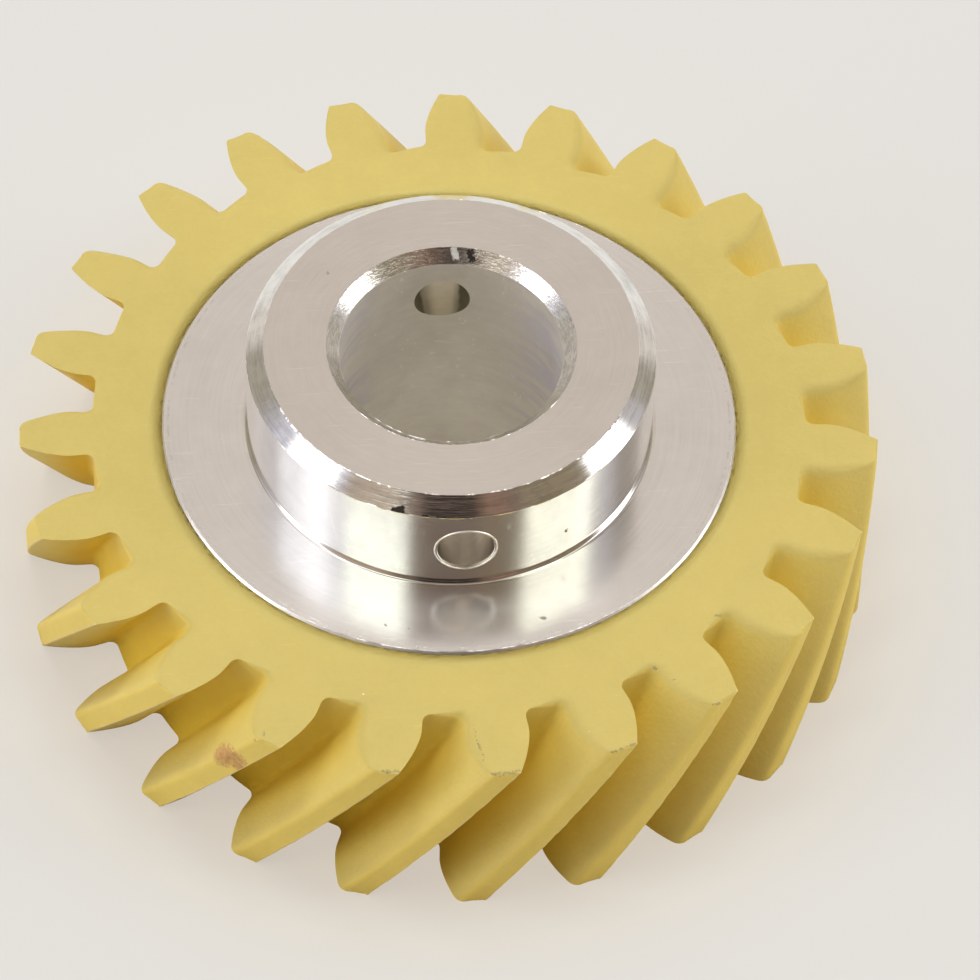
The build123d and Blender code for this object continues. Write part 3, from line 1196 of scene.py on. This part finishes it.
@dataclass(frozen=True)
class MetalFinish:
    """How one surface of the hub looks.

    Fineness is in lines per millimetre, relief is the lines' height, and tone is how much they change the
    colour. Fall is painted shade: how bright the surface is painted at the hub's top and at its bottom.
    Streaks is how strongly slanted streaks show on its sides.
    """

    name: str
    colour: Colour
    roughness: float
    anisotropic: float = 0.0
    fineness: float = 9.0
    waver: float = 2.0
    lean: float = 1.4
    relief: float = 0.0
    tone: float = 0.1
    patches: float = 0.15
    patch_scale: float = 0.4
    scratched: float = 0.3
    dirt: Colour = rgb(0.06, 0.05, 0.045)
    bright: Colour = rgb(1.0, 1.0, 0.98)
    scratch_tone: float = 0.25
    patch_rough: float = 0.25
    marked_rough: float = 0.35
    fall: tuple[float, float] = (1.0, 1.0)
    streaks: float = 0.0
    streak: Colour = rgb(0.78, 0.76, 0.85)
    marks: tuple[Mark, ...] = ()
    rings: tuple[RingStain, ...] = ()

    def stains(self, graph: Graph, place: Socket, found: object) -> Socket | float:
        """Adds the finish's rings of dirt to a mask.

        Args:
            graph: the material's graph.
            place: the place on the piece, in millimetres.
            found: the mask so far.

        Returns:
            The mask with the rings.
        """
        if not self.rings:
            return found
        x, y, z = graph.split(place)
        radius = graph.radius(x, y)
        rough = graph.noise(place, 2.2, 3.0, 0.7)
        for ring in self.rings:
            mask = graph.times(graph.band(radius, ring.low[0], ring.high[0], ring.soft),
                               graph.band(z, ring.low[1], ring.high[1], ring.soft))
            kept = graph.ramp(rough, ring.broken - ring.ragged, ring.broken + ring.ragged, 0.0, ring.strength)
            found = graph.math("MAXIMUM", graph.times(mask, kept), found)
        return found

    def dress(self, effects: Effects) -> bpy.types.Material:
        """Makes the material.

        Args:
            effects: the shared groups.

        Returns:
            The material.
        """
        material, graph = Graph.material(self.name)
        place = graph.place()
        lines = graph.use(effects.turning_lines, place=place, fineness=self.fineness, waver=self.waver,
                          lean=self.lean)
        patches = graph.use(effects.blotches, place=place, scale=self.patch_scale, contrast=2.2)
        scratches = graph.use(effects.scratches, place=place, turn=0.6)
        # Dark marks: mostly dirt and nicks, but painted shade in the far cross pin hole and a painted dark
        # reflection on the mouth chamfer.
        dirt = self.stains(graph, place, effects.marks(graph, place, self.marks, Tint.DIRT))
        bright = effects.marks(graph, place, self.marks, Tint.BRIGHT)

        tone = graph.sway(patches, -self.patches, graph.sway(lines, 2 * self.tone, 1.0))
        tone = graph.math("MULTIPLY_ADD", scratches, self.scratch_tone * self.scratched, tone)
        # Painted shade: the colour brighter or darker with height.
        if self.fall != (1.0, 1.0):
            height = graph.split(place)[2]
            tone = graph.times(tone, graph.ramp(height, 0.0, HUB_TOP, self.fall[1], self.fall[0]))
        colour = graph.vector("SCALE", self.colour[:3], tone)
        if self.streaks:
            streaked = graph.times(graph.use(effects.side_streaks, place=place), self.streaks)
            colour = graph.mix(streaked, colour, self.streak)
        colour = graph.mix(dirt, colour, self.dirt)
        # Bright marks on the metal are partly burrs, partly painted glints.
        colour = graph.mix(bright, colour, self.bright)
        rough = graph.sway(patches, self.patch_rough * self.roughness, self.roughness)
        rough = graph.math("MULTIPLY_ADD", graph.math("MAXIMUM", dirt, bright), self.marked_rough, rough)

        inputs = {"Base Color": colour, "Metallic": 1.0, "Roughness": rough,
                  "Normal": graph.bump(graph.times(lines, self.relief))}
        if self.anisotropic:
            tangent = graph.node("ShaderNodeTangent", direction_type="RADIAL", axis="Z").outputs[0]
            inputs.update({"Tangent": tangent, "Anisotropic": self.anisotropic, "Anisotropic Rotation": 0.25})
        graph.show(graph.principled(inputs))
        return material


HUB_FINISHES = {
    HubZone.NOSE_FACE: MetalFinish(
        "faced_metal", rgb(0.80, 0.76, 0.73), 0.16, 0.4, fineness=7.0, waver=3.0, relief=0.001, tone=0.05,
        patches=0.08, dirt=rgb(0.36, 0.33, 0.30),
        marks=(Mark((8.63, 139.8, HUB_TOP), (8.66, 140.2, HUB_TOP), 0.14),)),
    HubZone.NOSE_CHAMFER: MetalFinish(
        "bright_cut_metal", rgb(0.93, 0.92, 0.90), 0.11, fineness=4.5, waver=4.0, lean=-0.8, relief=0.006,
        tone=0.45, patches=0.3, patch_scale=0.9, scratched=1.0,
        marks=(Mark((11.48, -110.6, 18.90), (11.32, -108.0, 19.05), 0.15, 0.0),
               Mark((11.52, -109.4, 18.86), (11.50, -107.9, 18.88), 0.20, 0.0),
               Mark((11.5, -102.0, 18.87), (11.5, -101.2, 18.87), 0.13, 0.2),
               Mark((11.5, -98.2, 18.86), (11.5, -94.8, 18.86), 0.09, 0.8),
               # Sparkles on the chamfer's top edge: burrs, painted as glints.
               Mark((10.6, -158.0, HUB_TOP), (10.6, -156.4, HUB_TOP), 0.16, 0.4, Tint.BRIGHT),
               Mark((10.6, -154.2, HUB_TOP), (10.6, -153.0, HUB_TOP), 0.14, 0.4, Tint.BRIGHT),
               Mark((10.6, -150.8, HUB_TOP), (10.6, -149.0, HUB_TOP), 0.18, 0.3, Tint.BRIGHT))),
    HubZone.BOSS_WALL: MetalFinish(
        "burnished_metal", rgb(0.93, 0.92, 0.90), 0.08, 0.6, fineness=5.0, waver=0.8, relief=0.0006,
        tone=0.05, patches=0.08, dirt=rgb(0.30, 0.29, 0.20),
        marks=(Mark((11.55, -60.3, 15.19), (11.55, -60.1, 15.0), 0.12),)),
    HubZone.FLANGE: MetalFinish(
        "turned_metal", rgb(0.86, 0.84, 0.825), 0.19, 0.5, fineness=6.0, relief=0.001, tone=0.06,
        patches=0.1, dirt=rgb(0.36, 0.35, 0.28),
        marks=(Mark((14.82, -74.2, FLANGE_TOP), (14.86, -73.4, FLANGE_TOP), 0.15),
               Mark((14.93, -108.1, FLANGE_TOP), (14.93, -108.0, FLANGE_TOP), 0.1),
               Mark((14.87, -103.2, FLANGE_TOP), (14.87, -103.1, FLANGE_TOP), 0.08)),
        rings=(RingStain((15.98, 12.7), (16.1, 12.9), 0.4, 0.54),)),
    HubZone.FLANGE_RIM: MetalFinish(
        "rim_metal", rgb(0.90, 0.87, 0.85), 0.38, fineness=6.0, waver=9.0, relief=0.006, tone=0.3,
        patches=0.3, patch_scale=1.2),
    HubZone.MOUTH_CHAMFER: MetalFinish(
        "speckled_cut_metal", rgb(0.90, 0.88, 0.85), 0.20, fineness=5.0, waver=14.0, relief=0.03, tone=0.5,
        patches=0.4, patch_scale=1.4, scratched=1.0,
        # Painted reflection on the chamfer's back: a white glint and a dark spot beside it.
        marks=(Mark((6.6, 83.5, 19.3), (7.0, 84.3, 19.55), 0.30, 0.3, Tint.BRIGHT),
               Mark((6.6, 75.5, 19.2), (6.9, 77.0, 19.5), 0.30, 0.4))),
    # Partly a bored finish, partly painted light lifting the shaded bore; darker towards its top as painted
    # shade.
    HubZone.BORE: MetalFinish(
        "bored_metal", rgb(0.98, 0.95, 0.885), 0.62, 0.3, fineness=2.0, waver=3.0, relief=0.008, tone=0.06,
        patches=0.07, patch_scale=0.5, scratched=0.5, fall=(0.91, 1.02), streaks=0.75),
    # The cross pin hole's halves are lit and shaded copies of one surface: this near half is painted lighter.
    HubZone.PIN_HOLE: MetalFinish(
        "drilled_metal", rgb(0.90, 0.85, 0.77), 0.30, fineness=3.0, waver=4.0, relief=0.004, tone=0.15),
    # Painted shade: the far half, seen inside the bore, is darker and rougher, and its two wide dark marks
    # paint shade.
    HubZone.FAR_HOLE: MetalFinish(
        "far_drilled_metal", rgb(0.80, 0.76, 0.66), 0.42, fineness=3.0, waver=4.0,
        dirt=rgb(0.38, 0.355, 0.26),
        marks=(Mark((6.5, 102.5, 15.2), (9.5, 99.0, 15.6), 0.9, 0.0),
               Mark((6.5, 77.5, 15.2), (9.5, 81.0, 15.6), 0.9, 0.0))),
    HubZone.DEBURRED_RIM: MetalFinish(
        "deburred_metal", rgb(0.92, 0.89, 0.83), 0.38, fineness=4.0, relief=0.01, tone=0.3, patches=0.4,
        patch_scale=1.5),
    HubZone.BOSS_FOOT: MetalFinish(
        "foot_metal", rgb(0.84, 0.81, 0.77), 0.13, fineness=6.0, waver=5.0, relief=0.003, tone=0.2),
    HubZone.UNDERSIDE: MetalFinish(
        "parted_metal", rgb(0.84, 0.82, 0.80), 0.3, 0.5, fineness=3.0, waver=1.0, relief=0.004),
}


@dataclass(frozen=True)
class NylonFinish:
    """How the moulded ring looks."""

    name: str = "moulded_nylon"
    colour: Colour = rgb(0.62, 0.50, 0.155)
    # Painted light: saturated colours for bounce light and shade in the gaps, brighter copies for sides and
    # tip lands.
    painted_gap_bounce: Colour = rgb(0.88, 0.65, 0.07)
    painted_gap_bounce_top: Colour = rgb(0.79, 0.59, 0.10)
    flank: Colour = rgb(0.79, 0.625, 0.18)
    land: Colour = rgb(0.86, 0.66, 0.155)
    beside_hub: Colour = rgb(0.60, 0.51, 0.17)
    dirt: Colour = rgb(0.41, 0.34, 0.14)
    rubbed: Colour = rgb(0.56, 0.27, 0.11)
    bright: Colour = rgb(0.86, 0.78, 0.50)
    # Pale burr colour along the overhanging tip edges, partly real burr and partly a painted highlight.
    burr: Colour = rgb(0.92, 0.74, 0.42)
    roughness: float = 0.5
    shine: float = 0.18
    grain_height: float = 0.025
    grain_rough: float = 0.2
    grain_tone: float = 0.05
    patch_tone: float = 0.07
    scratch_tone: float = 0.04
    pale_top: float = 0.45
    hub_tint_reach: float = 1.6
    hub_tint_strength: float = 0.6
    seat_radius: float = SEAT
    root_radius: float = 20.4
    marks: tuple[Mark, ...] = (
        Mark((20.74, -91.1, RING_TOP), (23.83, -89.6, RING_TOP), 0.10, 0.9),
        Mark((24.45, -89.7, RING_TOP), (24.38, -85.2, RING_TOP), 0.14, 0.75),
        Mark((24.2, -90.2, RING_TOP), (TIP, -90.4, 12.0), 0.12, 0.8),
        Mark((24.43, -73.8, RING_TOP), (24.44, -69.5, RING_TOP), 0.12, 0.85),
        Mark((24.38, -58.0, RING_TOP), (24.55, -56.1, RING_TOP), 0.14, 0.7),
        Mark((TIP, -60.6, 12.3), (TIP, -60.0, 12.1), 0.16, 0.8),
        Mark((21.78, -60.0, RING_TOP), (21.8, -59.6, RING_TOP), 0.12, 0.6),
        Mark((20.5, -61.2, RING_TOP), (20.5, -60.6, 12.5), 0.14, 0.6),
        Mark((20.13, -46.8, RING_TOP), (20.2, -46.0, 12.5), 0.14, 0.6),
        Mark((24.42, -102.8, RING_TOP), (24.36, -100.6, RING_TOP), 0.14, 0.8),
        Mark((23.33, -105.9, RING_TOP), (23.35, -105.7, RING_TOP), 0.08, 0.6),
        Mark((24.3, -121.2, RING_TOP), (TIP, -120.2, 12.4), 0.14, 0.8),
        Mark((23.9, -119.4, RING_TOP), (24.2, -119.0, RING_TOP), 0.09, 0.8),
        Mark((22.72, -75.3, RING_TOP), (22.72, -74.9, RING_TOP), 0.14, 0.5, Tint.BRIGHT),
        Mark((19.64, -108.3, RING_TOP), (19.66, -108.2, RING_TOP), 0.08, 0.4, Tint.BRIGHT),
        Mark((TIP, -126.3, 10.5), (TIP, -121.6, 8.9), 0.62, 0.3, Tint.RUBBED),
        Mark((TIP, -125.6, 9.2), (TIP, -123.2, 9.7), 1.05, 0.3, Tint.RUBBED),
    )

    def dress(self, effects: Effects) -> bpy.types.Material:
        """Makes the material.

        Args:
            effects: the shared groups.

        Returns:
            The material.
        """
        material, graph = Graph.material(self.name)
        place = graph.place()
        x, y, z = graph.split(place)
        radius = graph.radius(x, y)
        normal = graph.node("ShaderNodeNewGeometry").outputs["Normal"]
        steep = graph.ramp(graph.math("ABSOLUTE", graph.split(normal)[2]), 0.3, 0.8, 1.0, 0.0)
        patches = graph.use(effects.blotches, place=place, scale=0.35, contrast=2.0)
        grain = graph.use(effects.blotches, place=place, scale=3.5, contrast=1.6)
        scratches = graph.use(effects.scratches, place=place, turn=0.3)
        dirt = effects.marks(graph, place, self.marks, Tint.DIRT)
        bright = effects.marks(graph, place, self.marks, Tint.BRIGHT)
        rubbed = effects.marks(graph, place, self.marks, Tint.RUBBED)

        # Painted light: brighter sides and tip lands, and saturated bounce light and shade deeper down in the
        # gaps.
        depth = graph.times(steep, graph.ramp(radius, TIP - 0.3, self.root_radius + 0.6))
        depth = graph.times(depth, graph.ramp(z, RING_TOP, RING_TOP - 2.2, self.pale_top, 1.0))
        below = graph.ramp(z, RING_TOP - 0.4, RING_TOP - 4.5)
        with_painted_side_light = graph.mix(steep, self.colour, self.flank)
        colour = graph.mix(depth, with_painted_side_light, graph.mix(below, self.painted_gap_bounce_top, self.painted_gap_bounce))
        painted_land_light = graph.times(steep, graph.ramp(radius, TIP - 0.2, TIP - 0.02))
        colour = graph.mix(painted_land_light, colour, self.land)
        # Greener close to the hub's seat.
        hub_tinted = graph.ramp(radius, self.seat_radius + self.hub_tint_reach, self.seat_radius, 0.0,
                             self.hub_tint_strength)
        colour = graph.mix(graph.times(hub_tinted, graph.math("ADD", patches, 0.25)), colour, self.beside_hub)
        uneven = graph.sway(grain, self.grain_tone, graph.sway(patches, self.patch_tone, 1.0))
        uneven = graph.math("MULTIPLY_ADD", scratches, self.scratch_tone, uneven)
        colour = graph.vector("SCALE", colour, uneven)
        colour = graph.mix(dirt, colour, self.dirt)
        colour = graph.mix(bright, colour, self.bright)
        colour = graph.mix(graph.times(rubbed, graph.math("ADD", grain, 0.25)), colour, self.rubbed)
        # Pale line on the tip edges: partly real burr, partly a painted edge highlight.
        edge = graph.node("ShaderNodeAttribute", attribute_name=BURR).outputs["Fac"]
        colour = graph.mix(graph.ramp(edge, 0.1, 0.7), colour, self.burr)

        graph.show(graph.principled({
            "Base Color": colour, "Roughness": graph.sway(grain, self.grain_rough, self.roughness),
            "Normal": graph.bump(graph.times(grain, self.grain_height)), "Specular IOR Level": self.shine}))
        return material


def hand_over(piece: bpy.types.Object, node: str) -> None:
    """Hides the CAD node that a piece stands for, hangs the piece under the root body, and logs it.

    Args:
        piece: the finished piece.
        node: the CAD node that it replaces.
    """
    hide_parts(node)
    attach(piece, "root")
    log.info("%s stands for %s: %d faces", piece.name, node, len(piece.data.polygons))


def main() -> None:
    """Builds the studio and the wheel's two pieces."""
    logging.basicConfig(level=logging.INFO, format="%(name)s: %(message)s")
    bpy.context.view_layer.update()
    bpy.context.scene.view_settings.view_transform = "Standard"
    Studio().build()
    effects = Effects()

    hub = TurnedHub().build()
    for zone in HubZone:
        hub.data.materials.append(HUB_FINISHES[zone].dress(effects))
    hand_over(hub, "hub")

    ring = ToothedRing().build()
    ring.data.materials.append(NylonFinish().dress(effects))
    hand_over(ring, "toothed_ring")


if __name__ == "__main__":
    main()
